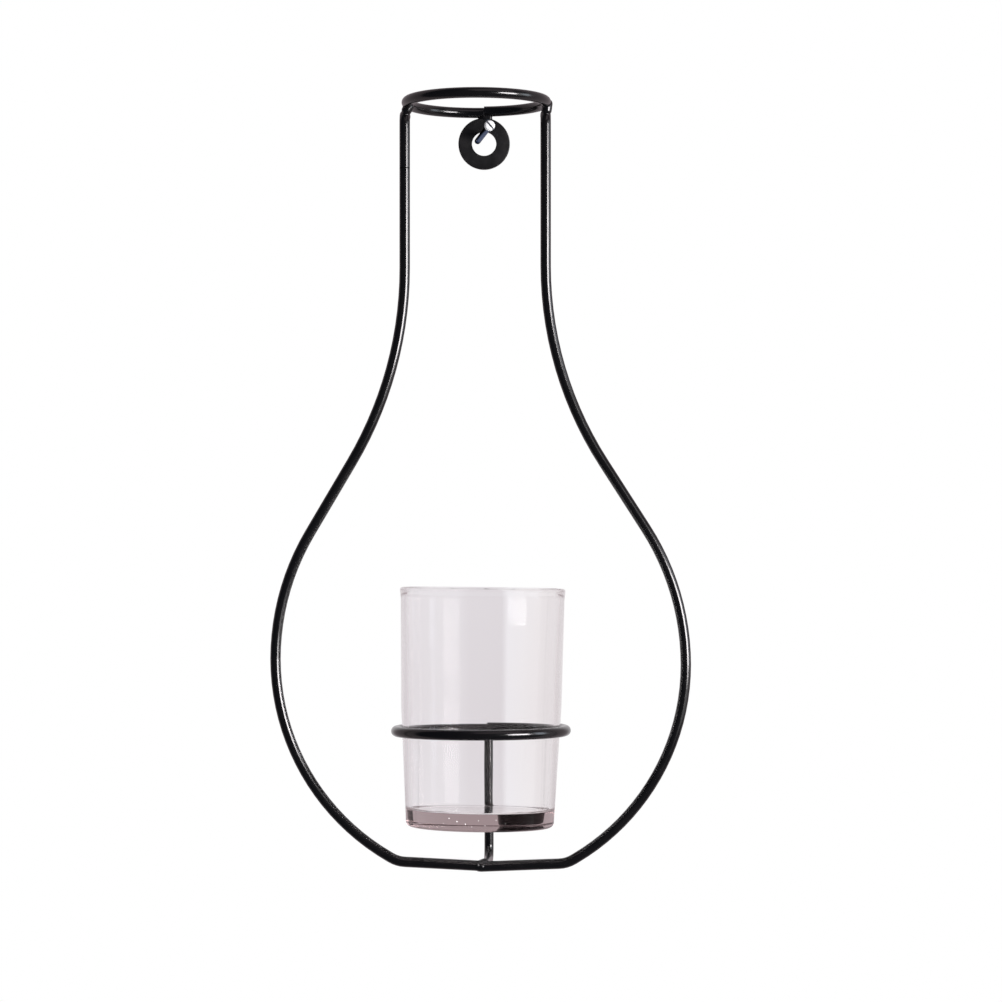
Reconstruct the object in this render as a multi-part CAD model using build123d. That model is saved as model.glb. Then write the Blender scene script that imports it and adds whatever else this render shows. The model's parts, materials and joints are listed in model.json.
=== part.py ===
from build123d import *
import math
import os

# Hanging wall vase: a flask outline of bent wire hangs on one wall screw and carries a glass in a ring.
# Millimetres. The origin is where the screw's axis enters the wall. +X is to the right of someone who
# faces the vase, +Y goes into the wall and +Z is up, so the whole vase lies at negative Y.

# Wire, paint and clearances
wire_d = 3.25
stem_d = 2.9
joint_gap = 0.05
coil_gap = 0.15
seam_gap = 0.2
wall_gap = 0.3
overrun = 1.0

# Wall screw
shank_d = 2.0
thread_d = 2.4
head_d = 3.3
head_h = 1.3
head_round = 0.5
slot_w = 0.45
slot_depth = 0.6
slot_turn = -48.0
screw_reach = 22.0
thread_length = 16.0
point_length = 3.0
point_d = 0.3
screw_side_lean = 10.4
screw_up_lean = 5.5

# Hanging washer, with its point of contact a little left of the top of its hole
washer_od = 16.3
washer_hole_d = 7.7
washer_t = 1.6
washer_edge = 0.25
hang_gap = 0.28
contact_turn = 20.0
washer_side = 0.85

# Heavy-based glass: a steep lower cone, a knee above the ring, then an almost straight wall up to a
# rounded rim. It sits a little askew in its ring.
glass_h = 74.0
knee_d = 49.7
foot_taper = 4.0
knee_height = 37.0
mouth_d = 50.8
rim_d = 51.3
rim_t = 2.0
rim_h = 3.4
glass_wall = 1.4
base_t = 5.4
base_hollow = 0.5
base_hollow_d = 34.0
foot_round = 1.6
knee_round = 60.0
floor_round = 2.0
seat_height = 29.7
seat_gap = 0.15
glass_tilt = 0.7

# Rings: each is one turn of wire, whose ends butt with a small step at the back
neck_ring_d = 43.1
coil_step = 0.42
cup_joint_side = 1.9
neck_ring_shift = -1.45
ring_drop = 194.7

# Side wires, in distances from the glass axis and below the neck ring. Each runs straight down the neck,
# swings out over the shoulder, comes straight down the slope, rounds the belly and bends into its half of
# the bottom bar.
left_neck_out = 0.65
right_neck_out = -0.05
left_shoulder_drop = 51.3
right_shoulder_drop = 50.6
left_belly = 63.7
right_belly = 63.5
left_belly_drop = 172.5
right_belly_drop = 174.3
left_corner = 25.9
right_corner = 26.6
left_bar_slope = 3.0
right_bar_slope = 2.1
left_slope_turn_share = 1.67
right_slope_turn_share = 1.69
left_shoulder_radius_share = 0.607
right_shoulder_radius_share = 0.59
under_turn_share = 1.92
corner_radius = 9.4
bottom_drop = 236.6
seam_side = -0.25
seam_step = 0.25
elbow_radius = 3.2
tail = 3.2

# Stem from the back of the cup ring to the bottom bar
stem_side = 2.4
stem_leg_side = 1.6
stem_bend = 4.4

# Weld beads. The neck's lean from a point beside the ring down to the elbow, the one by the washer's top
# sits to its right, and the lowest runs out to the left of the stem's foot.
neck_bead_r = 1.65
neck_bead_back = 0.6
left_bead_side = -1.2
left_bead_drop = 1.25
right_bead_side = 0.56
right_bead_drop = 0.3
bead_foot_share = 0.5
bead_foot_drop = 2.3
washer_bead_r = 1.15
washer_bead_side = 0.9
washer_bead_half = 0.6
cup_bead_r = 1.25
cup_bead_half = 1.5
seam_bead_proud = 0.14
seam_bead_half = 1.4
seam_bead_sink = 0.32
rear_bead_r = 1.35
rear_bead_out = 1.3
rear_bead_in = 0.5
rear_bead_rise = 0.85

wire_r = wire_d / 2
foot_d = knee_d - foot_taper


def slope_radius(height):
    """The glass's outer radius at a height under its knee."""
    return (foot_d + (knee_d - foot_d) * height / knee_height) / 2


# Rings' centreline radii: the cup ring's bore follows the glass's taper where the glass sits
neck_ring_r = neck_ring_d / 2
cup_ring_r = slope_radius(seat_height) + seat_gap + wire_r
frame_y = -(cup_ring_r + wire_r + wall_gap)

# The screw's direction out of the wall, and the point of its axis that the washer hangs on
screw_side = math.tan(math.radians(screw_side_lean))
screw_up = math.tan(math.radians(screw_up_lean))
screw_dir = Vector(screw_side, -1, screw_up).normalized()
hang_dist = washer_hole_d / 2 - shank_d / 2 - hang_gap
hang_side = hang_dist * math.sin(math.radians(contact_turn))
hang_drop = hang_dist * math.cos(math.radians(contact_turn))
washer_y = frame_y + neck_ring_r
hang = screw_dir * (washer_y / screw_dir.Y)
washer_x = hang.X + hang_side
washer_z = hang.Z - hang_drop

# Neck ring above the washer, and the glass axis beside the washer's centre
axis_x = washer_x - washer_side
neck_x = axis_x + neck_ring_shift
neck_z = washer_z + washer_od / 2 + wire_r + coil_step / 2 + joint_gap
cup_z = neck_z - ring_drop
bar_z = neck_z - bottom_drop
seam_x = axis_x + seam_side
right_tail_z = neck_z - wire_d - joint_gap
left_tail_z = right_tail_z - coil_step / 2


def wire(edges, diameter):
    """One solid of round wire along joined straight and round edges."""
    path = Wire(edges)
    section = Plane(origin=path @ 0, z_dir=path % 0) * Circle(diameter / 2)
    return sweep(section, path=path)


def capsule(start, end, radius):
    """A round bead with domed ends between two points."""
    along = end - start
    body = Plane(origin=start, z_dir=along) * Cylinder(
        radius, along.length, align=(Align.CENTER, Align.CENTER, Align.MIN)
    )
    return body + Pos(start) * Sphere(radius) + Pos(end) * Sphere(radius)


def bend_and_run(across, along, turn_share):
    """The turn, the arc radius and the straight length that together go this far across and along."""
    turn = turn_share * math.atan2(across, along)
    radius = (along * math.sin(turn) - across * math.cos(turn)) / (1 - math.cos(turn))
    straight = (across - radius * (1 - math.cos(turn))) / math.sin(turn)
    return math.degrees(turn), radius, straight


def round_corner(face, x, y, radius):
    """The face with its corner at this point rounded."""
    return fillet(face.vertices().sort_by_distance((x, y, 0))[0], radius)


def coil_ring(radius, joint_side):
    """One turn of wire round the origin, its ends stepped and butted at the back, this far to one side."""
    open_half = math.degrees(math.asin(coil_gap / 2 / radius))
    tilt = math.degrees(math.asin(coil_step / 2 / (2 * radius)))
    halves = []
    for side in (-1, 1):
        half = CenterArc((0, 0), radius, -90, side * (180 - open_half))
        hinge = Pos(0, -radius, 0) * Rot(side * tilt, 0, 0) * Pos(0, radius, 0)
        halves.append(hinge * half)
    ring = wire([halves[0], halves[1]], wire_d)
    return Rot(0, 0, -math.degrees(math.asin(joint_side / radius))) * ring


def side_edges(plane, neck, neck_top, outline):
    """The outline from the neck down to the seam, in a plane whose x goes outward and whose y goes down."""
    shoulder_drop, turn_share, radius_share, belly, belly_drop, corner, bar_slope, seam_drop = outline
    seam_out = abs(seam_side) if plane.x_dir.X * seam_side > 0 else -abs(seam_side)
    turn, radii, slope = bend_and_run(belly - neck, belly_drop - shoulder_drop, turn_share)
    corner_drop = seam_drop - (corner - seam_out) * math.tan(math.radians(bar_slope))
    under_turn, under_r, under_run = bend_and_run(belly - corner, corner_drop - belly_drop, under_turn_share)
    corner_turn = 90 - bar_slope - under_turn
    corner_cut = corner_radius * math.tan(math.radians(corner_turn / 2))
    edges = [Line((neck, neck_top), (neck, shoulder_drop))]
    edges.append(JernArc(edges[-1] @ 1, edges[-1] % 1, radii * radius_share, -turn))
    edges.append(Line(edges[-1] @ 1, (edges[-1] @ 1) + (edges[-1] % 1) * slope))
    edges.append(JernArc(edges[-1] @ 1, edges[-1] % 1, radii * (1 - radius_share), turn))
    edges.append(JernArc(edges[-1] @ 1, edges[-1] % 1, under_r, under_turn))
    edges.append(Line(edges[-1] @ 1, (edges[-1] @ 1) + (edges[-1] % 1) * (under_run - corner_cut)))
    edges.append(JernArc(edges[-1] @ 1, edges[-1] % 1, corner_radius, corner_turn))
    edges.append(Line(edges[-1] @ 1, (seam_out + seam_gap / 2, seam_drop)))
    return [plane * edge for edge in edges]


def elbow_edges(top):
    """The tail under the neck ring and the elbow that turns it down into the side wire."""
    plane = Plane(origin=top, x_dir=(0, 1, 0), z_dir=(-1, 0, 0))
    straight = Line((elbow_radius + tail, -elbow_radius), (elbow_radius, -elbow_radius))
    bend = JernArc(straight @ 1, straight % 1, elbow_radius, -90)
    return [plane * straight, plane * bend]


def side_wire(out, neck, tail_z, outline):
    """A whole side wire, where out is -1 for the left one and 1 for the right one."""
    plane = Plane(origin=(axis_x, frame_y, neck_z), x_dir=(out, 0, 0), z_dir=(0, out, 0))
    top = Vector(axis_x + out * neck, frame_y, tail_z - elbow_radius)
    return wire(elbow_edges(top) + side_edges(plane, neck, neck_z - top.Z, outline), wire_d)


# Rings
neck_joint_side = washer_x - neck_x
neck_ring = Pos(neck_x, frame_y, neck_z) * coil_ring(neck_ring_r, neck_joint_side)
cup_ring = Pos(axis_x, frame_y, cup_z) * coil_ring(cup_ring_r, cup_joint_side)

# Side wires
left_neck = neck_ring_r - neck_ring_shift + left_neck_out
right_neck = neck_ring_r + neck_ring_shift + right_neck_out
left_outline = (
    left_shoulder_drop, left_slope_turn_share, left_shoulder_radius_share,
    left_belly, left_belly_drop, left_corner, left_bar_slope, bottom_drop,
)
right_outline = (
    right_shoulder_drop, right_slope_turn_share, right_shoulder_radius_share,
    right_belly, right_belly_drop, right_corner, right_bar_slope, bottom_drop + seam_step,
)
left_side_wire = side_wire(-1, left_neck, left_tail_z, left_outline)
right_side_wire = side_wire(1, right_neck, right_tail_z, right_outline)

# Hanging washer
hanging_washer = Cylinder(washer_od / 2, washer_t)
hanging_washer = chamfer(hanging_washer.edges().filter_by(GeomType.CIRCLE), washer_edge)
hanging_washer -= Cylinder(washer_hole_d / 2, washer_t + overrun)
hanging_washer = Pos(washer_x, washer_y, washer_z) * Rot(90, 0, 0) * hanging_washer

# Stem: down behind the glass, then forward to the back of the bottom bar
stem_x = axis_x + stem_side
stem_y = frame_y + math.sqrt(cup_ring_r**2 - stem_side**2)
stem_top = Vector(stem_x, stem_y, cup_z - wire_r - coil_step / 2 - joint_gap)
leg_end = Vector(axis_x + stem_leg_side, frame_y + wire_r + joint_gap, bar_z)
leg_dir = Vector(leg_end.X - stem_x, leg_end.Y - stem_y, 0).normalized()
stem_plane = Plane(origin=(stem_x, stem_y, bar_z), x_dir=leg_dir, z_dir=leg_dir.cross(Vector(0, 0, -1)))
leg_length = Vector(leg_end.X - stem_x, leg_end.Y - stem_y, 0).length
down = Line((0, bar_z - stem_top.Z), (0, -stem_bend))
foot = JernArc(down @ 1, down % 1, stem_bend, -90)
leg = Line(foot @ 1, (leg_length, 0))
cup_stem = wire([stem_plane * down, stem_plane * foot, stem_plane * leg], stem_d)

# Glass
rim_r = rim_d / 2
inner_mouth_r = mouth_d / 2 - glass_wall
inner_floor_r = slope_radius(base_t) - glass_wall
outer_side = Polyline(
    (0, base_hollow),
    (base_hollow_d / 2, base_hollow),
    (base_hollow_d / 2 + base_hollow, 0),
    (foot_d / 2, 0),
    (knee_d / 2, knee_height),
    (mouth_d / 2, glass_h - rim_h),
    (rim_r, glass_h - rim_t / 2),
)
rim = ThreePointArc(
    (rim_r, glass_h - rim_t / 2), (rim_r - rim_t / 2, glass_h), (rim_r - rim_t, glass_h - rim_t / 2)
)
inner_side = Polyline(
    (rim_r - rim_t, glass_h - rim_t / 2),
    (inner_mouth_r, glass_h - rim_h),
    (inner_floor_r, base_t),
    (0, base_t),
    (0, base_hollow),
)
profile = make_face(outer_side + rim + inner_side)
profile = round_corner(profile, foot_d / 2, 0, foot_round)
profile = round_corner(profile, knee_d / 2, knee_height, knee_round)
profile = round_corner(profile, inner_floor_r, base_t, floor_round)
glass_cup = Pos(0, 0, -seat_height) * revolve(Plane.XZ * profile, Axis.Z)
glass_cup = Pos(axis_x, frame_y, cup_z) * Rot(0, glass_tilt, 0) * glass_cup

# Screw: thread in the wall, plain shank out of it and a round-edged slotted head
screw_plane = Plane(origin=(0, 0, 0), x_dir=(1, 0, 0), z_dir=screw_dir)
upward = (Align.CENTER, Align.CENTER, Align.MIN)
downward = (Align.CENTER, Align.CENTER, Align.MAX)
screw_length = screw_reach / -screw_dir.Y
head = Pos(0, 0, screw_length - head_h) * Cylinder(head_d / 2, head_h, align=upward)
head = fillet(head.edges().filter_by(GeomType.CIRCLE).sort_by(Axis.Z)[-1], head_round)
slot = Pos(0, 0, screw_length) * Rot(0, 0, slot_turn) * Box(head_d + overrun, slot_w, slot_depth * 2)
shank = Cylinder(shank_d / 2, screw_length, align=upward)
thread = Cylinder(thread_d / 2, thread_length, align=downward)
point = Pos(0, 0, -thread_length) * Cone(point_d / 2, thread_d / 2, point_length, align=downward)
wall_screw = screw_plane * (head - slot + shank + thread + point)


def neck_bead(out, neck, side, drop):
    """A bead from a point beside the neck ring down to the elbow of a side wire."""
    elbow = Vector(axis_x + out * neck, frame_y + neck_bead_back, neck_z)
    high = elbow + Vector(out * side, 0, -drop)
    low = elbow + Vector(out * side * bead_foot_share, 0, -bead_foot_drop)
    return capsule(high, low, neck_bead_r)


def level_bead(middle, half, radius):
    """A bead from left to right through this middle."""
    return capsule(middle - Vector(half, 0, 0), middle + Vector(half, 0, 0), radius)


# Weld beads: each fills the corners between its pieces and is cut to their surfaces
left_neck_weld = neck_bead(-1, left_neck, left_bead_side, left_bead_drop) - neck_ring - left_side_wire
right_neck_weld = neck_bead(1, right_neck, right_bead_side, right_bead_drop) - neck_ring - right_side_wire

washer_top = Vector(washer_x + washer_bead_side, washer_y, washer_z + washer_od / 2)
washer_weld = level_bead(washer_top, washer_bead_half, washer_bead_r) - neck_ring - hanging_washer
cup_ring_weld = level_bead(stem_top, cup_bead_half, cup_bead_r) - cup_ring - cup_stem

seam = Vector(seam_x, frame_y, bar_z - seam_step / 2)
seam_bead = revolve(
    Plane(origin=seam, x_dir=(1, 0, 0), z_dir=(0, -1, 0))
    * make_face(
        [
            Line((-seam_bead_half, 0), (-seam_bead_half, wire_r - seam_bead_sink)),
            ThreePointArc(
                (-seam_bead_half, wire_r - seam_bead_sink),
                (0, wire_r + seam_bead_proud),
                (seam_bead_half, wire_r - seam_bead_sink),
            ),
            Line((seam_bead_half, wire_r - seam_bead_sink), (seam_bead_half, 0)),
            Line((seam_bead_half, 0), (-seam_bead_half, 0)),
        ]
    ),
    Axis(seam, (1, 0, 0)),
)
rear_low = seam + Vector(-rear_bead_out, wire_r, 0)
rear_high = Vector(leg_end.X - rear_bead_in, frame_y + wire_r, bar_z + rear_bead_rise)
rear_bead = capsule(rear_low, rear_high, rear_bead_r)
bottom_weld = seam_bead + rear_bead - left_side_wire - right_side_wire - cup_stem

nodes = {
    "neck_ring": neck_ring,
    "left_side_wire": left_side_wire,
    "right_side_wire": right_side_wire,
    "hanging_washer": hanging_washer,
    "cup_ring": cup_ring,
    "cup_stem": cup_stem,
    "glass_cup": glass_cup,
    "wall_screw": wall_screw,
    "left_neck_weld": left_neck_weld,
    "right_neck_weld": right_neck_weld,
    "washer_weld": washer_weld,
    "cup_ring_weld": cup_ring_weld,
    "bottom_weld": bottom_weld,
}

os.makedirs("parts", exist_ok=True)
for name, shape in nodes.items():
    export_step(shape, f"parts/{name}.step")
    print(name, "solids", len(shape.solids()), "volume", round(shape.volume, 2))

print("hanging point", hang)
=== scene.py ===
"""Finishes of a hanging wall vase: gloss black wire, a pressed glass and a small slotted screw."""

import json
import math

import bmesh
import bpy
from bpy.props import FloatProperty, FloatVectorProperty, IntProperty, PointerProperty
from mathutils import Matrix, Vector

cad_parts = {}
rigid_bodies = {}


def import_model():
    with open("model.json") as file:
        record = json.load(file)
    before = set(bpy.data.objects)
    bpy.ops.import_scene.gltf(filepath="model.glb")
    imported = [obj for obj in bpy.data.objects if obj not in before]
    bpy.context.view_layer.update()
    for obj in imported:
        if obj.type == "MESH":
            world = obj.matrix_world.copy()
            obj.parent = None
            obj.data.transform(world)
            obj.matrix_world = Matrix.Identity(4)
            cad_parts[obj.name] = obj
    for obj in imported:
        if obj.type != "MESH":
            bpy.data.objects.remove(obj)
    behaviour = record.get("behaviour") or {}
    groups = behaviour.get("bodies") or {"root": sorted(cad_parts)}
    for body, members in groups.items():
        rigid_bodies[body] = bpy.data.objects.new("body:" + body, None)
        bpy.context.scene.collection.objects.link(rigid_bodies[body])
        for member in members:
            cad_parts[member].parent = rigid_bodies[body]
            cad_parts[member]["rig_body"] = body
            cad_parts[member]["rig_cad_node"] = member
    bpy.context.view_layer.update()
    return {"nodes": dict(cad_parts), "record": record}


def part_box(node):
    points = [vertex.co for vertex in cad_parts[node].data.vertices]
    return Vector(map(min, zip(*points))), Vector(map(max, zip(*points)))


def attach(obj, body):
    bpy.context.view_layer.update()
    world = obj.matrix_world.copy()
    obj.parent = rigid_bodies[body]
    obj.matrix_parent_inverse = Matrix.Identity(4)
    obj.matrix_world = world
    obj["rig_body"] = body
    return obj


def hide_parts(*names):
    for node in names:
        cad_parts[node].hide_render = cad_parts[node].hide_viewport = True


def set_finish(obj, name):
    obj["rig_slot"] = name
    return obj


bl_info = {
    "name": "Hanging Wall Vase",
    "version": (1, 0, 0),
    "blender": (4, 5, 0),
    "location": "View3D > Sidebar > Wall Vase",
    "description": "Models the glass, the welds and the screw of a wire wall vase, and paints its wire",
    "category": "Object",
}

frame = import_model()
nodes = frame["nodes"]
MM = 0.001

FRAME_BODY = "vase_frame"
GLASS_BODY = "glass"
SCREW_BODY = "wall_screw"
WIRE_NODES = ("neck_ring", "left_side_wire", "right_side_wire", "cup_ring", "cup_stem")
WELDS = {
    "left_neck_weld": ("neck_ring", "left_side_wire"),
    "right_neck_weld": ("neck_ring", "right_side_wire"),
    "washer_weld": ("neck_ring", "hanging_washer"),
    "cup_ring_weld": ("cup_ring", "cup_stem"),
    "bottom_weld": ("left_side_wire", "right_side_wire", "cup_stem"),
}

# A nick in the left neck wire's paint: the side that it lies left of, its height, and half its thickness.
NICK = (-20.0 * MM, -12.1 * MM, 0.22 * MM)
# Drops of spatter: how far right of the seam, and how far above the weld's lowest point.
SPATTER = ((-0.58 * MM, 2.26 * MM), (0.87 * MM, 1.82 * MM))
# The screw head's outline from under it to its face, as shares of half its width and of its height.
HEAD_SHARES = ((0.9, 0), (1, 0.15), (1, 0.6), (0.82, 0.92), (0.6, 1))
# Bubbles in the glass's base, in millimetres: right of its middle, above its foot, and radius.
BUBBLES = ((-8.8, 4.0, 0.18), (-6.6, 3.1, 0.20), (-4.1, 2.4, 0.16), (-0.3, 3.5, 0.15), (-6.3, 1.0, 0.14),
           (4.8, 3.7, 0.13), (-2.2, 1.6, 0.10), (-10.4, 2.4, 0.10), (1.6, 2.0, 0.09), (7.5, 2.6, 0.08))
# Painted light and shade on the wall as the glass shows it, at shares of the way from the glass's left to
# its right: the darker tones are painted shade and the paler ones painted light.
PAINTED_WALL_LIGHT = ((0.0, (0.84, 0.815, 0.845)), (0.34, (0.83, 0.805, 0.835)), (0.42, (0.78, 0.75, 0.78)),
              (0.63, (0.77, 0.74, 0.77)), (0.67, (0.90, 0.885, 0.915)), (0.78, (0.90, 0.88, 0.90)),
              (0.9, (0.87, 0.84, 0.855)))
# Points closer together than this are one point.
SAME_PLACE = 1e-6
# The sockets of a Mix node that mixes colours: its two sides and its result.
MIX_FIRST, MIX_SECOND, MIX_COLOUR = 6, 7, 2


def middle(node):
    """The middle of a CAD node's box."""
    low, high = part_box(node)
    return (low + high) / 2


glass_axis = Vector((middle("cup_ring").x, middle("cup_ring").y, 0))
ring_height = middle("neck_ring").z
lamp_aim = Vector((glass_axis.x, glass_axis.y, ring_height - 120 * MM))


def length(name, description, default):
    """A size in metres, shown in the scene's units."""
    return FloatProperty(name=name, description=description, default=default, unit="LENGTH", precision=5)


def angle(name, description, degrees):
    """An angle, with its default in degrees."""
    return FloatProperty(name=name, description=description, default=math.radians(degrees), subtype="ANGLE")


def colour(name, description, default):
    """A colour without alpha."""
    return FloatVectorProperty(name=name, description=description, default=default, subtype="COLOR", size=3,
                               min=0.0, max=1.0)


class GlassSizes(bpy.types.PropertyGroup):
    """Sizes and tint of the pressed glass."""

    height: length("Height", "From the foot to the top of the rim", 74.0 * MM)
    foot_width: length("Foot Width", "Outer width at the foot", 45.7 * MM)
    knee_width: length("Knee Width", "Outer width where the cone meets the straight wall", 49.7 * MM)
    knee_height: length("Knee Height", "Height of that knee", 37.0 * MM)
    mouth_width: length("Mouth Width", "Outer width under the rim", 50.8 * MM)
    rim_width: length("Rim Width", "Outer width of the rim's bead", 51.3 * MM)
    rim_thick: length("Rim Thickness", "Thickness of the rim's bead", 2.0 * MM)
    rim_height: length("Rim Height", "How far the bead fades down the wall", 3.4 * MM)
    wall: length("Wall", "Thickness of the wall", 1.4 * MM)
    base: length("Base", "Thickness of the heavy base", 5.4 * MM)
    hollow_width: length("Hollow Width", "Width of the shallow hollow under the base", 34.0 * MM)
    hollow_depth: length("Hollow Depth", "Depth of that hollow", 0.5 * MM)
    hollow_round: length("Hollow Round", "Radius of the hollow's edge", 0.8 * MM)
    foot_round: length("Foot Round", "Radius of the foot's edge", 1.6 * MM)
    knee_round: length("Knee Round", "Radius of the wall's slow turn at the knee", 60.0 * MM)
    bead_round: length("Bead Round", "Radius where the bead starts to fade", 4.0 * MM)
    lip_round: length("Lip Round", "Radius of the bead's two top edges", 0.98 * MM)
    floor_round: length("Floor Round", "Radius between the wall and the floor", 1.0 * MM)
    seat_height: length("Seat Height", "Where the ring's centre plane crosses the glass", 29.7 * MM)
    tilt: angle("Tilt", "How far the glass leans to the right in its ring", 0.7)
    bubble_depth: length("Bubble Depth", "How far the bubbles lie inside the foot's edge", 3.0 * MM)
    steps: IntProperty(name="Steps", description="Facets round the glass", default=192, min=24)
    absorb: FloatProperty(name="Absorption", description="How much the heavy glass darkens, per metre",
                          default=25.0)
    tint: colour("Tint", "Colour that thick glass lets through", (0.288, 0.088, 0.088))


class WireFinish(bpy.types.PropertyGroup):
    """Colours and gloss of the painted metal."""

    paint: colour("Paint", "Black paint of the wire", (0.0025, 0.0024, 0.0026))
    roughness: FloatProperty(name="Roughness", description="Roughness of the paint", default=0.17)
    washer_roughness: FloatProperty(name="Washer Roughness", description="Roughness of the washer's paint",
                                    default=0.42)
    ripple: length("Ripple", "Depth of the ripple in the wires' paint", 0.01 * MM)
    thick_ripple: length("Thick Ripple", "Depth of the ripple on the washer and the welds", 0.02 * MM)


class WeldSizes(bpy.types.PropertyGroup):
    """How far and how smoothly the weld beads run into the wires."""

    reach: length("Reach", "How far past its bead a weld runs along the wires", 1.6 * MM)
    grain: length("Grain", "Size of the voxels that melt the bead and the wires together", 0.13 * MM)
    flow: IntProperty(name="Flow", description="Rounds of smoothing that fill the corners", default=14,
                      min=0)
    sink: length("Sink", "How far the weld's skin sinks under the plain wires at its ends", 0.03 * MM)
    drop: length("Drop", "Radius of a drop of spatter", 0.30 * MM)
    drop_depth: length("Drop Depth", "How far a drop's middle lies behind the weld's front", 0.12 * MM)


class ScrewSizes(bpy.types.PropertyGroup):
    """Sizes of the slotted wall screw."""

    shank: length("Shank", "Width of the plain shank", 2.0 * MM)
    core: length("Core", "Width of the threaded part between its ridges", 1.7 * MM)
    thread: length("Thread", "Width over the thread", 2.4 * MM)
    pitch: length("Pitch", "Height of one turn of the thread", 1.0 * MM)
    head: length("Head", "Width of the head", 3.3 * MM)
    head_height: length("Head Height", "Height of the head", 1.3 * MM)
    head_round: length("Head Round", "Width of the rounding on the head's sharp edges", 0.04 * MM)
    slot: length("Slot", "Width of the driver's slot", 0.45 * MM)
    slot_depth: length("Slot Depth", "Depth of that slot", 0.6 * MM)
    slot_turn: angle("Slot Turn", "How the slot lies across the head", -48)
    reach: length("Reach", "How far the head's face stands out from the wall", 22.0 * MM)
    thread_length: length("Thread Length", "Length of the thread in the wall", 16.0 * MM)
    point_length: length("Point Length", "Length of the point", 3.0 * MM)
    steps: IntProperty(name="Steps", description="Facets round the screw", default=48, min=12)


class StageSetup(bpy.types.PropertyGroup):
    """Where the photograph's camera, the lamps, the wall and the floor are."""

    camera_side: length("Camera Side", "Camera to the right of the glass's axis", 6.2 * MM)
    camera_back: length("Camera Distance", "Camera in front of the wire outline's plane", 986.0 * MM)
    camera_drop: length("Camera Drop", "Camera under the neck ring", 141.5 * MM)
    pixel: length("Pixel", "Width of one picture pixel at the outline's plane", 0.31 * MM)
    picture: IntProperty(name="Picture", description="Pixels across the picture", default=1002)
    view_shift: IntProperty(name="View Shift", description="Pixels by which the view is shifted up",
                            default=58)
    key_turn: angle("Key Turn", "Key lamp to the right of the camera", 50)
    key_lift: angle("Key Lift", "Key lamp above the horizon", 3.5)
    fill_turn: angle("Fill Turn", "Cool lamp to the right of the camera", 82)
    wall_width: length("Wall Width", "Width and height of the wall", 1600 * MM)
    wall_drop: length("Wall Drop", "Middle of the wall under the wall screw", 100 * MM)
    floor_radius: length("Floor Radius", "Radius of the floor", 1100 * MM)
    floor_front: length("Floor Front", "Middle of the floor in front of the wall", 30 * MM)
    floor_drop: length("Floor Drop", "Floor under the wall screw", 450 * MM)


def deselect():
    """Leaves edit mode with nothing selected."""
    if bpy.context.mode != "OBJECT":
        bpy.ops.object.mode_set(mode="OBJECT")
    bpy.ops.object.select_all(action="DESELECT")


def take(piece):
    """Makes the piece the only one that the next operator acts on."""
    deselect()
    piece.select_set(True)
    bpy.context.view_layer.objects.active = piece
    return piece


def edit(piece):
    """Opens the piece in edit mode with nothing selected."""
    take(piece)
    bpy.ops.object.mode_set(mode="EDIT")
    bpy.ops.mesh.select_all(action="DESELECT")


def pick(kind, test):
    """Selects the vertices, edges or faces whose middle passes the test."""
    bpy.ops.mesh.select_mode(type=kind)
    bpy.ops.mesh.select_all(action="DESELECT")
    mesh = bpy.context.edit_object.data
    work = bmesh.from_edit_mesh(mesh)
    for part in {"VERT": work.verts, "EDGE": work.edges, "FACE": work.faces}[kind]:
        corners = [part] if kind == "VERT" else part.verts
        place = sum((corner.co for corner in corners), Vector()) / len(corners)
        if test(place):
            part.select_set(True)
    work.select_flush_mode()
    bmesh.update_edit_mesh(mesh)


def added(name):
    """The object that an operator has just made active, under its own name."""
    piece = bpy.context.object
    piece.name = name
    piece.data.name = name
    return piece


def apply_modifier(piece, kind, **settings):
    """Adds a modifier with these settings and applies it."""
    take(piece)
    bpy.ops.object.modifier_add(type=kind)
    modifier = piece.modifiers[-1]
    for name, value in settings.items():
        setattr(modifier, name, value)
    bpy.ops.object.modifier_apply(modifier=modifier.name)


def settle(piece):
    """Moves the piece's place into its mesh, so that its object sits at the origin."""
    take(piece)
    bpy.ops.object.transform_apply(location=True, rotation=True, scale=True)


def joined(pieces):
    """The pieces as one, under the first one's name."""
    whole = take(pieces[0])
    for piece in pieces:
        piece.select_set(True)
    bpy.ops.object.join()
    settle(whole)
    return whole


def merged_copy(names, name):
    """One mesh made of copies of these CAD nodes, with their doubles merged, as a new piece."""
    deselect()
    for node in names:
        nodes[node].select_set(True)
    bpy.context.view_layer.objects.active = nodes[names[0]]
    bpy.ops.object.duplicate(linked=False)
    bpy.ops.object.join()
    piece = added(name)
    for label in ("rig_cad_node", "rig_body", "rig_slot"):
        if label in piece:
            del piece[label]
    bpy.ops.object.parent_clear(type="CLEAR_KEEP_TRANSFORM")
    edit(piece)
    bpy.ops.mesh.select_all(action="SELECT")
    bpy.ops.mesh.remove_doubles(threshold=SAME_PLACE)
    bpy.ops.object.mode_set(mode="OBJECT")
    return piece


def trim(piece, place, direction):
    """Cuts away what lies beyond this place in this direction, and closes the cut."""
    edit(piece)
    bpy.ops.mesh.select_all(action="SELECT")
    bpy.ops.mesh.bisect(plane_co=place, plane_no=direction, clear_outer=True, use_fill=True, threshold=1e-7)
    bpy.ops.object.mode_set(mode="OBJECT")


def turn_at(points, index):
    """How much the outline turns at one of its points."""
    before = Vector(points[index]) - Vector(points[index - 1])
    after = Vector(points[index + 1]) - Vector(points[index])
    return before.angle(after)


def round_point(across, height, radius, turn, segments):
    """Rounds one point of the outline, where the line turns by this angle."""
    pick("VERT", lambda spot: abs(spot.x - across) < SAME_PLACE and abs(spot.z - height) < SAME_PLACE)
    bpy.ops.mesh.bevel(offset=radius * math.tan(turn / 2), offset_type="OFFSET", segments=segments,
                       profile=0.5, affect="VERTICES", clamp_overlap=False)


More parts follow.
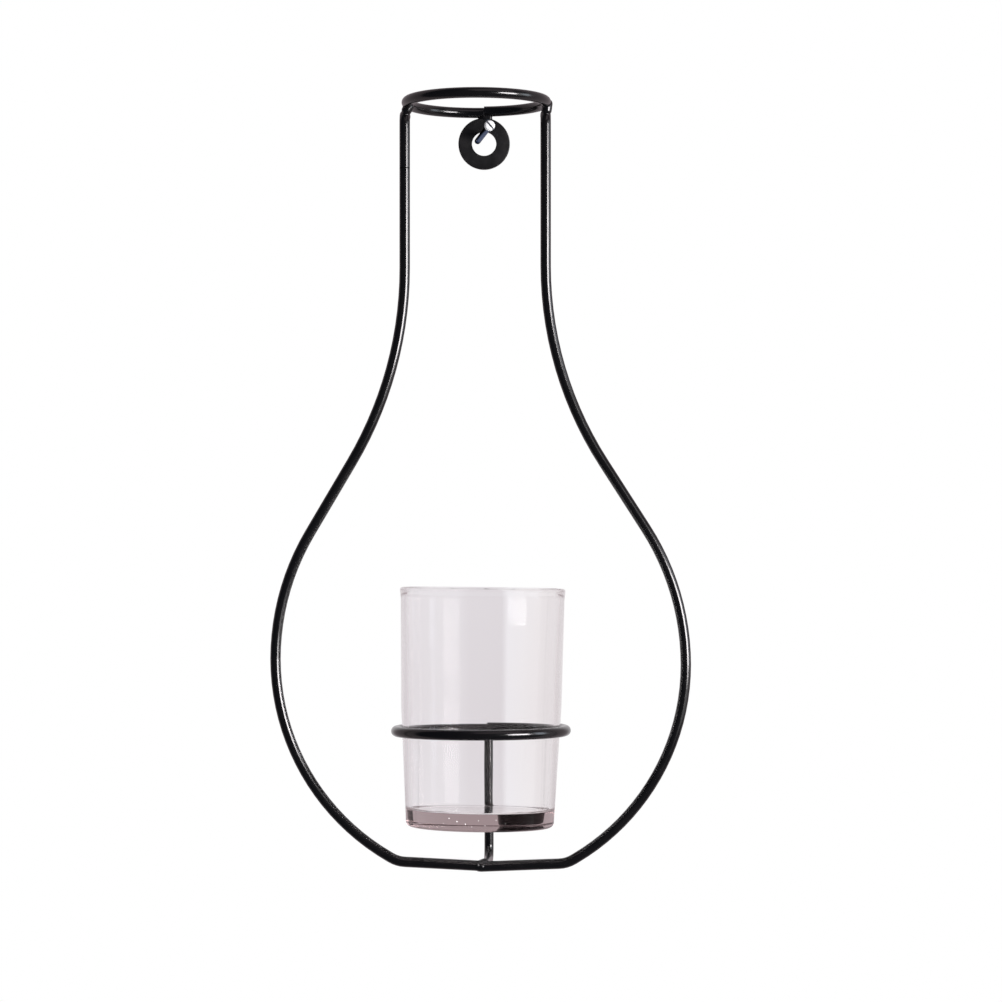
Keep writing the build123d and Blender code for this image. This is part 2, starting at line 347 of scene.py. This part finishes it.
def turned(name, outline, steps, crease):
    """A round piece turned from an outline, whose edges stay sharp above the crease angle.

    Each row of the outline holds a point's distance from the axis, height, round's radius and segments.
    """
    points = [row[:2] for row in outline]
    deselect()
    bpy.ops.mesh.primitive_plane_add(size=1, location=(0, 0, 0))
    piece = added(name)
    bpy.ops.object.mode_set(mode="EDIT")
    bpy.ops.mesh.select_all(action="SELECT")
    bpy.ops.mesh.merge(type="CENTER")
    bpy.ops.transform.translate(value=(points[0][0], 0, points[0][1]))
    for last, point in zip(points, points[1:]):
        step = (point[0] - last[0], 0, point[1] - last[1])
        bpy.ops.mesh.extrude_region_move(TRANSFORM_OT_translate={"value": step})
    for index, (across, height, radius, segments) in enumerate(outline):
        if radius:
            round_point(across, height, radius, turn_at(points, index), segments)
    bpy.ops.mesh.select_all(action="SELECT")
    bpy.ops.mesh.spin(steps=steps, angle=math.tau, center=(0, 0, 0), axis=(0, 0, 1))
    bpy.ops.mesh.select_all(action="SELECT")
    bpy.ops.mesh.remove_doubles(threshold=SAME_PLACE)
    bpy.ops.mesh.normals_make_consistent(inside=False)
    bpy.ops.object.mode_set(mode="OBJECT")
    bpy.ops.object.shade_smooth_by_angle(angle=crease)
    return piece


def dress(piece, material, slot, body=None):
    """Gives the piece its material and slot, and its body if it is a new piece."""
    piece.data.materials.clear()
    piece.data.materials.append(material)
    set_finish(piece, slot)
    if body:
        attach(piece, body)


class NodeBoard:
    """A material's node tree, with short calls to add and join nodes."""

    def __init__(self, name):
        self.material = bpy.data.materials.new(name)
        self.material.use_nodes = True
        self.tree = self.material.node_tree
        self.tree.nodes.clear()
        self.output = self.tree.nodes.new("ShaderNodeOutputMaterial")

    def add(self, kind, **values):
        """A node, whose settings and sockets are set by name."""
        node = self.tree.nodes.new("ShaderNode" + kind)
        for name, value in values.items():
            if hasattr(node, name):
                setattr(node, name, value)
            else:
                node.inputs[name.replace("_", " ")].default_value = value
        return node

    def join(self, source, out, target, into):
        """A link between two sockets, given by name or number."""
        self.tree.links.new(source.outputs[out], target.inputs[into])

    def work_out(self, operation, first, out, second, second_out="Value"):
        """This operation on a node's output and either a number or another node's output."""
        result = self.add("Math", operation=operation)
        self.join(first, out, result, 0)
        if isinstance(second, (int, float)):
            result.inputs[1].default_value = second
        else:
            self.join(second, second_out, result, 1)
        return result

    def span(self, source, out, low, high, to_low, to_high):
        """The source's value, stretched from one range to another."""
        span = self.add("MapRange", From_Min=low, From_Max=high, To_Min=to_low, To_Max=to_high)
        self.join(source, out, span, "Value")
        return span

    def noise(self, scale, detail, stretch=(1, 1, 1)):
        """Noise on the object's own coordinates, scaled per metre."""
        place = self.add("TexCoord")
        mapping = self.add("Mapping", Scale=stretch)
        noise = self.add("TexNoise", Scale=scale, Detail=detail)
        self.join(place, "Object", mapping, "Vector")
        self.join(mapping, "Vector", noise, "Vector")
        return noise

    def mottle(self, noise, to_low, to_high):
        """A noise's usual values, which lie from 0.3 to 0.7, stretched to this range."""
        return self.span(noise, "Fac", 0.3, 0.7, to_low, to_high)

    def nick(self, side, height, half):
        """One on a thin level line at this height, left of this side, and zero elsewhere."""
        place = self.add("TexCoord")
        parts = self.add("SeparateXYZ")
        self.join(place, "Object", parts, "Vector")
        level = self.work_out("SUBTRACT", parts, "Z", height)
        away = self.work_out("ABSOLUTE", level, "Value", 0)
        line = self.span(away, "Value", half * 0.5, half, 1, 0)
        left = self.work_out("LESS_THAN", parts, "X", side)
        return self.work_out("MULTIPLY", line, "Result", left)

    def blend(self, mask, out, first, second):
        """A mix of two sides by this mask, where a side is a colour or a node."""
        mix = self.add("Mix", data_type="RGBA")
        self.join(mask, out, mix, 0)
        for socket, side in ((MIX_FIRST, first), (MIX_SECOND, second)):
            if isinstance(side, tuple):
                mix.inputs[socket].default_value = (*side, 1)
            else:
                self.join(side, "Color" if "Color" in side.outputs else MIX_COLOUR, mix, socket)
        return mix

    def bumps(self, noise, depth, shader):
        """Bumps of this depth on the shader's surface."""
        bump = self.add("Bump", Strength=1.0, Distance=depth)
        self.join(noise, "Fac", bump, "Height")
        self.join(bump, "Normal", shader, "Normal")

    def choice(self, mask, out, first, second):
        """The first shader where the mask is zero, and the second where it is one."""
        mix = self.add("MixShader")
        self.join(mask, out, mix, 0)
        self.join(first, 0, mix, 1)
        self.join(second, 0, mix, 2)
        return mix

    def finished(self, shader):
        """The material, with this shader on its surface."""
        self.join(shader, 0, self.output, "Surface")
        return self.material


def gloss_paint(name, tone, roughness, ripple, nick=None):
    """Black paint with an uneven gloss, a fine ripple, and a nick across it if one is asked for."""
    board = NodeBoard(name)
    shader = board.add("BsdfPrincipled", IOR=1.5)
    cloud = board.noise(scale=260, detail=1)
    warmer = (tone[0] * 1.8, tone[1] * 1.6, tone[2] * 1.6)
    board.join(board.blend(cloud, "Fac", tone, warmer), MIX_COLOUR, shader, "Base Color")
    board.join(board.mottle(cloud, roughness * 0.85, roughness * 1.15), "Result", shader, "Roughness")
    if nick:
        gloss, dull = 0.5, 0.05
        shine = board.span(board.nick(*nick), "Value", 0, 1, gloss, dull)
        board.join(shine, "Result", shader, "Specular IOR Level")
    board.bumps(board.noise(scale=110, detail=1), ripple, shader)
    return board.finished(shader)


def clear_glass(name, tint, density):
    """Clear pressed glass that darkens a little where it is thick, with faint upright waves.

    Shadow rays pass straight through it, and so do rays after three reflections, so that none stays trapped.
    """
    board = NodeBoard(name)
    glass = board.add("BsdfPrincipled", Base_Color=(1, 1, 1, 1), Roughness=0.0, IOR=1.5)
    glass.inputs["Transmission Weight"].default_value = 1.0
    glass.inputs["Specular Tint"].default_value = (0.07, 0.07, 0.07, 1)
    board.bumps(board.noise(scale=220, detail=2, stretch=(1, 1, 0.12)), 0.02 * MM, glass)
    path = board.add("LightPath")
    reflections = 3
    trapped = board.work_out("GREATER_THAN", path, "Glossy Depth", reflections - 0.5)
    passes = board.work_out("MAXIMUM", trapped, "Value", path, "Is Shadow Ray")
    clear = board.add("BsdfTransparent", Color=(0.92, 0.92, 0.92, 1))
    soak = board.add("VolumeAbsorption", Color=(*tint, 1), Density=density)
    board.join(soak, "Volume", board.output, "Volume")
    return board.finished(board.choice(passes, "Value", glass, clear))


def bare_drop(name):
    """A small drop of bare weld metal, pale and rough."""
    board = NodeBoard(name)
    shader = board.add("BsdfPrincipled", Roughness=0.45, Metallic=0.5)
    tone = board.mottle(board.noise(scale=2500, detail=2), 0.10, 0.22)
    board.join(tone, "Result", shader, "Base Color")
    return board.finished(shader)


def glowing_bubble_glint(name):
    """Painted glint of a small air bubble inside glass: a white surface that also glows a little."""
    board = NodeBoard(name)
    shader = board.add("BsdfPrincipled", Roughness=0.3, Emission_Strength=0.4)
    tone = board.mottle(board.noise(scale=4000, detail=1), 0.75, 1.0)
    board.join(tone, "Result", shader, "Base Color")
    board.join(tone, "Result", shader, "Emission Color")
    return board.finished(shader)


def bright_steel(name, size, turn, face):
    """Steel with a bright head, painted shade in its slot, and a shank with painted shade on its upper left
    and near the wall.

    The turn takes the world's axes to the screw's own, with the slot along X and the face at this height.
    """
    board = NodeBoard(name)
    shader = board.add("BsdfPrincipled")
    grain = board.noise(scale=900, detail=2)
    place = board.add("TexCoord")
    own = board.add("Mapping", vector_type="POINT", Rotation=turn.to_euler())
    board.join(place, "Object", own, "Vector")
    parts = board.add("SeparateXYZ")
    board.join(own, "Vector", parts, "Vector")
    on_head = board.span(parts, "Z", face - size.head_height, face - size.head_height * 0.8, 0, 1)

    # Painted shade: the slot is coloured dark grey, darker than the head.
    away = board.work_out("ABSOLUTE", parts, "Y", 0)
    in_slot = board.span(away, "Value", size.slot * 0.55, size.slot * 0.75, 1, 0)
    slot_shade = (0.24, 0.25, 0.27)
    bright = board.blend(grain, "Fac", (0.74, 0.77, 0.78), (0.86, 0.88, 0.88))
    head = board.blend(in_slot, "Result", bright, slot_shade)

    # Painted shade: the shank is painted near black on its upper left and over its last 4 mm before the
    # wall.
    upper_left = (turn @ Vector((-1, 0, 1))).normalized() * (2 / size.shank)
    side = board.add("VectorMath", operation="DOT_PRODUCT")
    side.inputs[1].default_value = (upper_left.x, upper_left.y, 0)
    board.join(own, "Vector", side, 0)
    painted_shade_upper_left = board.span(side, "Value", -0.1, 0.45, 0, 1)
    painted_shade_near_wall = board.span(parts, "Z", 0, 4 * MM, 1, 0)
    painted_shade = board.work_out("MAXIMUM", painted_shade_upper_left, "Result", painted_shade_near_wall, "Result")
    black = (0.02, 0.02, 0.025)
    drawn = board.blend(grain, "Fac", (0.30, 0.37, 0.50), (0.42, 0.50, 0.62))
    shank = board.blend(painted_shade, "Value", drawn, black)

    tone = board.blend(on_head, "Result", shank, head)
    board.join(tone, MIX_COLOUR, shader, "Base Color")
    board.join(tone, MIX_COLOUR, shader, "Specular Tint")
    board.join(board.span(on_head, "Result", 0, 1, 1, 0.4), "Result", shader, "Metallic")
    board.join(board.span(on_head, "Result", 0, 1, 0.2, 0.5), "Result", shader, "Roughness")
    board.bumps(grain, 0.01 * MM, shader)
    return board.finished(shader)


class VASE_OT_wire(bpy.types.Operator):
    """Paints the wires, the rings, the stem and the washer"""

    bl_idname = "vase.wire"
    bl_label = "Paint Wire"

    def execute(self, context):
        finish = context.scene.vase_wire
        tone = tuple(finish.paint)
        paint = gloss_paint("black_wire_paint", tone, finish.roughness, finish.ripple, NICK)
        for name in WIRE_NODES:
            dress(nodes[name], paint, "black_wire")
        satin = gloss_paint("black_washer_paint", tone, finish.washer_roughness, finish.thick_ripple)
        dress(nodes["hanging_washer"], satin, "black_washer")
        return {"FINISHED"}


class VASE_OT_welds(bpy.types.Operator):
    """Melts each weld bead into the wires beside it"""

    bl_idname = "vase.welds"
    bl_label = "Melt Welds"

    def execute(self, context):
        size = context.scene.vase_welds
        finish = context.scene.vase_wire
        tone = tuple(finish.paint)
        paint = gloss_paint("painted_weld", tone, finish.roughness, finish.thick_ripple)
        satin = gloss_paint("satin_weld", tone, finish.washer_roughness, finish.thick_ripple)
        for node, neighbours in WELDS.items():
            weld = merged_copy((node, *neighbours), node.replace("weld", "joint"))
            low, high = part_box(node)
            for axis in Matrix.Identity(3):
                trim(weld, high + axis * size.reach, axis)
                trim(weld, low - axis * size.reach, -axis)
            apply_modifier(weld, "REMESH", mode="VOXEL", voxel_size=size.grain, use_smooth_shade=True)
            apply_modifier(weld, "SMOOTH", factor=0.5, iterations=size.flow)
            apply_modifier(weld, "DISPLACE", strength=-size.sink, mid_level=0)
            on_washer = "hanging_washer" in neighbours
            dress(weld, satin if on_washer else paint, "black_weld", FRAME_BODY)
            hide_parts(node)
        self.spatter(size)
        return {"FINISHED"}

    def spatter(self, size):
        """Two bare drops of weld spatter on the front of the seam in the bottom bar."""
        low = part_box("bottom_weld")[0]
        seam = (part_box("left_side_wire")[1].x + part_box("right_side_wire")[0].x) / 2
        deselect()
        drops = []
        for side, height in SPATTER:
            place = (seam + side, low.y + size.drop_depth, low.z + height)
            bpy.ops.mesh.primitive_ico_sphere_add(subdivisions=3, radius=size.drop, location=place)
            drops.append(added("seam_spatter"))
            bpy.ops.object.shade_smooth()
        dress(joined(drops), bare_drop("bare_spatter"), "black_weld", FRAME_BODY)


class VASE_OT_screw(bpy.types.Operator):
    """Turns the slotted screw, with its thread in the wall"""

    bl_idname = "vase.screw"
    bl_label = "Turn Screw"

    def execute(self, context):
        size = context.scene.vase_screw
        mount = next(mount for mount in frame["record"]["mounts"] if mount["name"] == "wall_pin")
        out = -Vector(mount["axis"]).normalized()
        face = size.reach / abs(out.y)
        screw = turned("slotted_screw", self.outline(size, face), size.steps, math.radians(35))
        self.cut_slot(screw, size, face)
        screw = joined([screw, self.thread(size)])
        right = Vector((1, 0, 0))
        side = (right - out * right.dot(out)).normalized()
        turn = Matrix((side, out.cross(side), out)).transposed()
        screw.matrix_world = turn.to_4x4()
        settle(screw)
        own = Matrix.Rotation(-size.slot_turn, 3, "Z") @ turn.transposed()
        dress(screw, bright_steel("screw_steel", size, own, face), "screw_steel", SCREW_BODY)
        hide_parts("wall_screw")
        return {"FINISHED"}

    def outline(self, size, face):
        """The screw's outline from its point to the middle of its face, with the wall at height zero."""
        shank, core, head = size.shank / 2, size.core / 2, size.head / 2
        under = face - size.head_height
        points = [(0, -size.thread_length - size.point_length), (core, -size.thread_length),
                  (core, -size.pitch), (shank, 0), (shank, under)]
        points += [(head * across, under + size.head_height * up) for across, up in HEAD_SHARES]
        points += [(0, face)]
        return [(across, height, 0, 0) for across, height in points]

    def cut_slot(self, screw, size, face):
        """Cuts the driver's slot across the head with a thin block that is longer than the head is wide."""
        deselect()
        bpy.ops.mesh.primitive_cube_add(size=1, location=(0, 0, face), rotation=(0, 0, size.slot_turn))
        block = added("slot_block")
        overrun = 1.4
        block.scale = (size.head * overrun, size.slot, size.slot_depth * 2)
        settle(block)
        apply_modifier(screw, "BOOLEAN", object=block, operation="DIFFERENCE", solver="EXACT")
        apply_modifier(screw, "BEVEL", width=size.head_round, segments=2, limit_method="ANGLE",
                       angle_limit=math.radians(50))
        take(block)
        bpy.ops.object.delete()

    def thread(self, size):
        """The thread's ridge: a small triangle wound round the core, narrowed over the point."""
        deselect()
        bpy.ops.mesh.primitive_circle_add(vertices=3, radius=1, fill_type="NOTHING", location=(0, 0, 0))
        ridge = added("thread_ridge")
        root = size.core / 2 * 0.96
        flank = size.pitch * 0.3
        start = size.pitch * 0.8
        corners = [(root, 0), (size.thread / 2, flank), (root, flank * 2)]
        bpy.ops.object.mode_set(mode="EDIT")
        work = bmesh.from_edit_mesh(ridge.data)
        places = sorted((vert.co.copy() for vert in work.verts), key=tuple)
        for place, (across, height) in zip(places, corners):
            pick("VERT", lambda spot: (spot - place).length < SAME_PLACE)
            bpy.ops.transform.translate(value=Vector((across, 0, height)) - place)
        bpy.ops.object.mode_set(mode="OBJECT")
        wound = size.thread_length + size.point_length * 0.8 - size.pitch
        apply_modifier(ridge, "SCREW", axis="Z", angle=math.tau, screw_offset=-size.pitch,
                       iterations=int(wound / size.pitch), steps=32, render_steps=32,
                       use_merge_vertices=False, use_smooth_shade=False)
        edit(ridge)
        bpy.ops.mesh.select_non_manifold(extend=False)
        bpy.ops.mesh.edge_face_add()
        self.narrow(size)
        bpy.ops.mesh.select_all(action="SELECT")
        bpy.ops.transform.translate(value=(0, 0, -start))
        bpy.ops.mesh.normals_make_consistent(inside=False)
        bpy.ops.object.mode_set(mode="OBJECT")
        bpy.ops.object.shade_smooth_by_angle(angle=math.radians(35))
        return ridge

    def narrow(self, size):
        """Narrows the open ridge row by row, down to nothing at the point."""
        rows = 24
        lag = size.pitch * 0.7
        for row in range(rows):
            top = -size.thread_length - row * size.point_length / rows - lag
            shrink = (rows - row - 1) / (rows - row)
            pick("VERT", lambda spot: spot.z < top)
            bpy.ops.transform.resize(value=(shrink, shrink, 1), center_override=(0, 0, 0))


class VASE_OT_glass(bpy.types.Operator):
    """Spins the heavy-based glass and sets it in its ring"""

    bl_idname = "vase.glass"
    bl_label = "Model Glass"

    def execute(self, context):
        size = context.scene.vase_glass
        glass = turned("glass_tumbler", self.outline(size), size.steps, math.radians(40))
        apply_modifier(glass, "WEIGHTED_NORMAL", keep_sharp=True)
        bubbles = self.bubbles(size)
        seat = Matrix.Translation(glass_axis + Vector((0, 0, middle("cup_ring").z)))
        seat = seat @ Matrix.Rotation(size.tilt, 4, "Y") @ Matrix.Translation((0, 0, -size.seat_height))
        for piece in (glass, bubbles):
            piece.matrix_world = seat
            settle(piece)
        dress(glass, clear_glass("pressed_glass", tuple(size.tint), size.absorb), "clear_glass", GLASS_BODY)
        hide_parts("glass_cup")
        dress(bubbles, glowing_bubble_glint("bubble_glint"), "clear_glass", GLASS_BODY)
        return {"FINISHED"}

    def outline(self, size):
        """The glass's outline from the middle of its underside round to the middle of its floor."""
        foot, knee, mouth = size.foot_width / 2, size.knee_width / 2, size.mouth_width / 2
        hollow = size.hollow_width / 2
        rim = size.rim_width / 2
        lip = rim - size.rim_thick
        bead = size.height - size.rim_thick / 2
        shoulder = size.height - size.rim_height
        inner_floor = foot + (knee - foot) * size.base / size.knee_height - size.wall
        return [
            (0, size.hollow_depth, 0, 0),
            (hollow, size.hollow_depth, 0, 0),
            (hollow + size.hollow_depth, 0, size.hollow_round, 3),
            (foot, 0, size.foot_round, 8),
            (knee, size.knee_height, size.knee_round, 10),
            (mouth, shoulder, 0, 0),
            (rim, bead, size.bead_round, 3),
            (rim, size.height, size.lip_round, 8),
            (lip, size.height, size.lip_round, 8),
            (lip, bead, size.bead_round, 3),
            (mouth - size.wall, shoulder, 0, 0),
            (inner_floor, size.base, size.floor_round, 5),
            (0, size.base, 0, 0),
        ]

    def bubbles(self, size):
        """Small air bubbles trapped in the front of the base, as one piece of small spheres that carry a
        painted, glowing glint.
        """
        deep = size.foot_width / 2 - size.bubble_depth
        deselect()
        made = []
        for side, height, radius in BUBBLES:
            place = (side * MM, -math.sqrt(deep ** 2 - (side * MM) ** 2), height * MM)
            bpy.ops.mesh.primitive_ico_sphere_add(subdivisions=2, radius=radius * MM, location=place)
            made.append(added("base_bubbles"))
            bpy.ops.object.shade_smooth()
        return joined(made)


def lamp(name, turn, lift, distance, width, height, power, tone):
    """A soft rectangular lamp that faces the vase, at these angles from the camera's side."""
    out = Vector((math.sin(turn) * math.cos(lift), -math.cos(turn) * math.cos(lift), math.sin(lift)))
    deselect()
    bpy.ops.object.light_add(type="AREA", location=lamp_aim + out * distance)
    light = bpy.context.object
    light.name = name
    light.rotation_euler = out.to_track_quat("Z", "Y").to_euler()
    light.data.shape = "RECTANGLE"
    light.data.size = width
    light.data.size_y = height
    light.data.energy = power
    light.data.color = tone
    light.visible_camera = False


class VASE_OT_stage(bpy.types.Operator):
    """Sets the camera, the lamps, the white world, the wall and the pale floor"""

    bl_idname = "vase.stage"
    bl_label = "Set Stage"

    def execute(self, context):
        setup = context.scene.vase_stage
        self.make_camera(context, setup)
        lamp("key_window", setup.key_turn, setup.key_lift, distance=1.0, width=0.48, height=0.34,
             power=15, tone=(1.0, 0.965, 0.975))
        lamp("cool_window", setup.fill_turn, math.radians(9), distance=1.0, width=0.26, height=0.5,
             power=1.2, tone=(0.75, 0.87, 1.0))
        lamp("pale_side", math.radians(64), math.radians(4), distance=1.1, width=1.2, height=0.9,
             power=4, tone=(1.0, 0.985, 0.99))
        lamp("pale_top", math.radians(30), math.radians(52), distance=1.1, width=1.1, height=0.6,
             power=1.3, tone=(1.0, 0.84, 0.88))
        self.make_world(context)
        self.make_wall(setup)
        self.make_floor(setup)
        context.scene.view_settings.view_transform = "Standard"
        return {"FINISHED"}

    def make_camera(self, context, setup):
        """The camera at the photograph's place, with the photograph's frame."""
        place = glass_axis + Vector((setup.camera_side, -setup.camera_back, ring_height - setup.camera_drop))
        deselect()
        bpy.ops.object.camera_add(location=place, rotation=(math.pi / 2, 0, 0))
        camera = bpy.context.object
        camera.name = "photo_camera"
        camera.data.lens = camera.data.sensor_width * setup.camera_back / (setup.pixel * setup.picture)
        camera.data.shift_y = setup.view_shift / setup.picture
        camera.data.clip_start = 0.05
        camera.data.clip_end = 20
        context.scene.camera = camera

    def make_world(self, context):
        """White to the camera, pale straight through glass, grey to soft light, and dark in reflections.

        What is reflected after a ray has passed through glass is grey too.
        """
        world = bpy.data.worlds.new("white_room")
        context.scene.world = world
        world.use_nodes = True
        tree = world.node_tree
        path = tree.nodes.new("ShaderNodeLightPath")
        reflected = (0.045, 0.055, 0.075)
        levels = [("Transmission Depth", (0.30, 0.29, 0.31)), ("Is Diffuse Ray", (0.25, 0.245, 0.25)),
                  ("Is Transmission Ray", (0.90, 0.89, 0.90)), ("Is Camera Ray", (1, 1, 1))]
        last = None
        for ray, level in levels:
            mix = tree.nodes.new("ShaderNodeMix")
            mix.data_type = "RGBA"
            mix.inputs[MIX_FIRST].default_value = (*reflected, 1)
            mix.inputs[MIX_SECOND].default_value = (*level, 1)
            tree.links.new(path.outputs[ray], mix.inputs[0])
            if last:
                tree.links.new(last.outputs[MIX_COLOUR], mix.inputs[MIX_FIRST])
            last = mix
        tree.links.new(last.outputs[MIX_COLOUR], tree.nodes["Background"].inputs["Color"])

    def make_wall(self, setup):
        """The wall: white to the camera, with painted light and shade in upright bands where the glass shows
        it, and dim in reflections apart from an oval of painted light behind the glass.

        It is clear from behind, and gives no soft light or shadow.
        """
        deselect()
        bpy.ops.mesh.primitive_plane_add(size=setup.wall_width, location=(0, 0, -setup.wall_drop),
                                         rotation=(math.pi / 2, 0, 0))
        wall = added("wall")
        settle(wall)
        board = NodeBoard("wall_painted_light")
        path = board.add("LightPath")
        # Painted light: reflections see the wall pale on an oval behind the glass and dim elsewhere.
        reflected_with_painted_light = board.blend(self.painted_light_oval(board), "Result", (0.44, 0.38, 0.40), (0.85, 0.82, 0.84))
        glassy = board.blend(path, "Is Transmission Ray", reflected_with_painted_light, self.bands(board))
        tone = board.blend(path, "Is Camera Ray", glassy, (1, 1, 1))
        glow = board.add("Emission")
        board.join(tone, MIX_COLOUR, glow, "Color")
        surface = board.choice(board.add("NewGeometry"), "Backfacing", glow, board.add("BsdfTransparent"))
        wall.data.materials.append(board.finished(surface))
        wall.visible_diffuse = False
        wall.visible_shadow = False

    def bands(self, board):
        """Upright bands of painted light and shade across the glass's width, in pale tones."""
        half = 26 * MM
        place = board.add("TexCoord")
        parts = board.add("SeparateXYZ")
        board.join(place, "Object", parts, "Vector")
        reach = board.span(parts, "X", glass_axis.x - half, glass_axis.x + half, 0, 1)
        bands = board.add("ValToRGB")
        board.join(reach, "Result", bands, "Fac")
        ramp = bands.color_ramp
        while len(ramp.elements) < len(PAINTED_WALL_LIGHT):
            ramp.elements.new(0.5)
        for stop, (share, tone) in zip(ramp.elements, PAINTED_WALL_LIGHT):
            stop.position = share
            stop.color = (*tone, 1)
        return bands

    def painted_light_oval(self, board):
        """One on the oval of wall behind the glass, and zero outside it: the mask of the painted light that
        reflections see there.
        """
        half_width, half_height, drop = 60 * MM, 62 * MM, 166 * MM
        place = board.add("TexCoord")
        oval = board.add("Mapping", vector_type="POINT", Scale=(1 / half_width, 0, 1 / half_height),
                         Location=(-glass_axis.x / half_width, 0, drop / half_height))
        board.join(place, "Object", oval, "Vector")
        distance = board.add("VectorMath", operation="LENGTH")
        board.join(oval, "Vector", distance, 0)
        return board.span(distance, "Value", 0.75, 1.0, 1, 0)

    def make_floor(self, setup):
        """A pale floor under the vase that fades into the white world."""
        deselect()
        bpy.ops.mesh.primitive_circle_add(vertices=96, radius=setup.floor_radius, fill_type="NGON",
                                          location=(0, -setup.floor_front, -setup.floor_drop))
        floor = added("floor")
        settle(floor)
        board = NodeBoard("floor_paint")
        matte = board.add("BsdfDiffuse", Color=(0.9, 0.9, 0.9, 1))
        glow = board.add("Emission")
        place = board.add("TexCoord")
        flat = board.add("Mapping", Scale=(1, 1, 0))
        board.join(place, "Object", flat, "Vector")
        reach = board.add("VectorMath", operation="LENGTH")
        board.join(flat, "Vector", reach, 0)
        fade = board.span(reach, "Value", 0.2, 0.8, 0.5, 1)
        floor.data.materials.append(board.finished(board.choice(fade, "Result", matte, glow)))
        floor.visible_glossy = False


class VASE_PT_panel(bpy.types.Panel):
    """Lists the vase's steps in the sidebar."""

    bl_label = "Wall Vase"
    bl_idname = "VASE_PT_panel"
    bl_space_type = "VIEW_3D"
    bl_region_type = "UI"
    bl_category = "Wall Vase"

    def draw(self, context):
        for step in STEPS:
            self.layout.operator(step.bl_idname)


STEPS = (VASE_OT_wire, VASE_OT_welds, VASE_OT_screw, VASE_OT_glass, VASE_OT_stage)
GROUPS = (GlassSizes, WireFinish, WeldSizes, ScrewSizes, StageSetup)


def register():
    """Registers the classes and hangs their settings on the scene."""
    for kind in GROUPS + STEPS + (VASE_PT_panel,):
        bpy.utils.register_class(kind)
    bpy.types.Scene.vase_glass = PointerProperty(type=GlassSizes)
    bpy.types.Scene.vase_wire = PointerProperty(type=WireFinish)
    bpy.types.Scene.vase_welds = PointerProperty(type=WeldSizes)
    bpy.types.Scene.vase_screw = PointerProperty(type=ScrewSizes)
    bpy.types.Scene.vase_stage = PointerProperty(type=StageSetup)


def unregister():
    """Takes the settings and the classes away again."""
    del bpy.types.Scene.vase_glass
    del bpy.types.Scene.vase_wire
    del bpy.types.Scene.vase_welds
    del bpy.types.Scene.vase_screw
    del bpy.types.Scene.vase_stage
    for kind in reversed(GROUPS + STEPS + (VASE_PT_panel,)):
        bpy.utils.unregister_class(kind)


def main():
    """Builds every piece in order."""
    register()
    bpy.ops.vase.wire()
    bpy.ops.vase.welds()
    bpy.ops.vase.screw()
    bpy.ops.vase.glass()
    bpy.ops.vase.stage()


if __name__ == "__main__":
    main()
